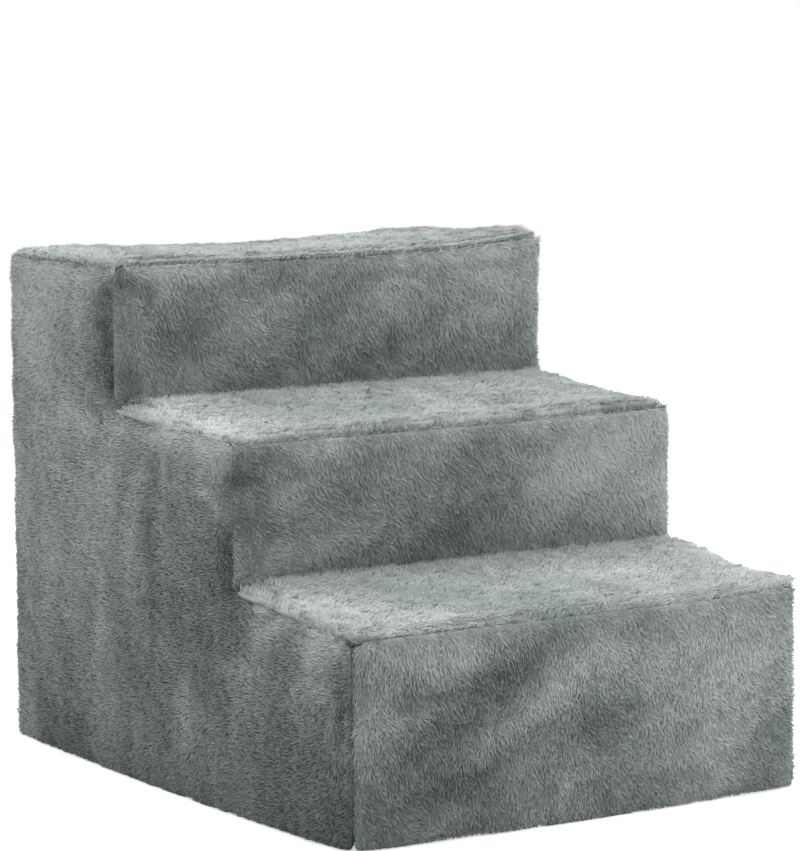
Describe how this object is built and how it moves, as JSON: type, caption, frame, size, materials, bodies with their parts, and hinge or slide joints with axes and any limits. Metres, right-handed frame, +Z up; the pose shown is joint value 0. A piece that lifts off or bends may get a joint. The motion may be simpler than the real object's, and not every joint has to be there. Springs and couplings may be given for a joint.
{
  "type": "pet stairs",
  "caption": "Soft free-standing steps with a foam core and a plush cover that unzips at the back, so that a small pet can climb onto a bed or sofa.",
  "frame": {"origin": "middle of the underside, on the floor", "axes": "+X across the stairs to the right as a climbing pet sees them, +Y from the lowest step to the back, +Z up"},
  "size_m": [0.35, 0.45, 0.34],
  "materials": {
    "plush": "short dense pile, matt with a soft sheen",
    "support_foam": "open-cell foam, matt",
    "comfort_foam": "soft open-cell foam, matt",
    "anti_slip_cloth": "felted cloth with small rubber dots",
    "zip_tape": "woven tape",
    "zip_coil": "nylon coil, satin",
    "zip_metal": "lacquered die-cast metal"
  },
  "bodies": {
    "stairs": {"back_border_bottom": "plush", "back_border_left": "plush", "back_border_right": "plush", "back_panel": "plush", "base_panel": "anti_slip_cloth", "comfort_layer_1": "comfort_foam", "comfort_layer_2": "comfort_foam", "comfort_layer_3": "comfort_foam", "foam_slab_lower": "support_foam", "foam_slab_middle": "support_foam", "foam_slab_upper": "support_foam", "riser_panel_1": "plush", "riser_panel_2": "plush", "riser_panel_3": "plush", "side_panel_left": "plush", "side_panel_right": "plush", "tread_panel_1": "plush", "tread_panel_2": "plush", "tread_panel_3": "plush", "zip_bottom_stop": "zip_metal", "zip_coil_border": "zip_coil", "zip_coil_flap": "zip_coil", "zip_tape_border": "zip_tape", "zip_tape_flap": "zip_tape", "zip_top_stops": "zip_metal"},
    "slider": {"zip_slider": "zip_metal"},
    "puller": {"zip_puller": "zip_metal"}
  },
  "joints": [
    {"name": "slider_slide", "type": "slide", "parent": "stairs", "child": "slider", "axis": [0, 0, -1], "range_m": [0, 0.2067], "deforming": ["zip_coil_flap", "zip_coil_border"]},
    {"name": "puller_hinge", "type": "hinge", "parent": "slider", "child": "puller", "pos_m": [0.141, 0.22215, 0.2832], "axis": [1, 0, 0], "range_deg": [0, 150]}
  ]
}
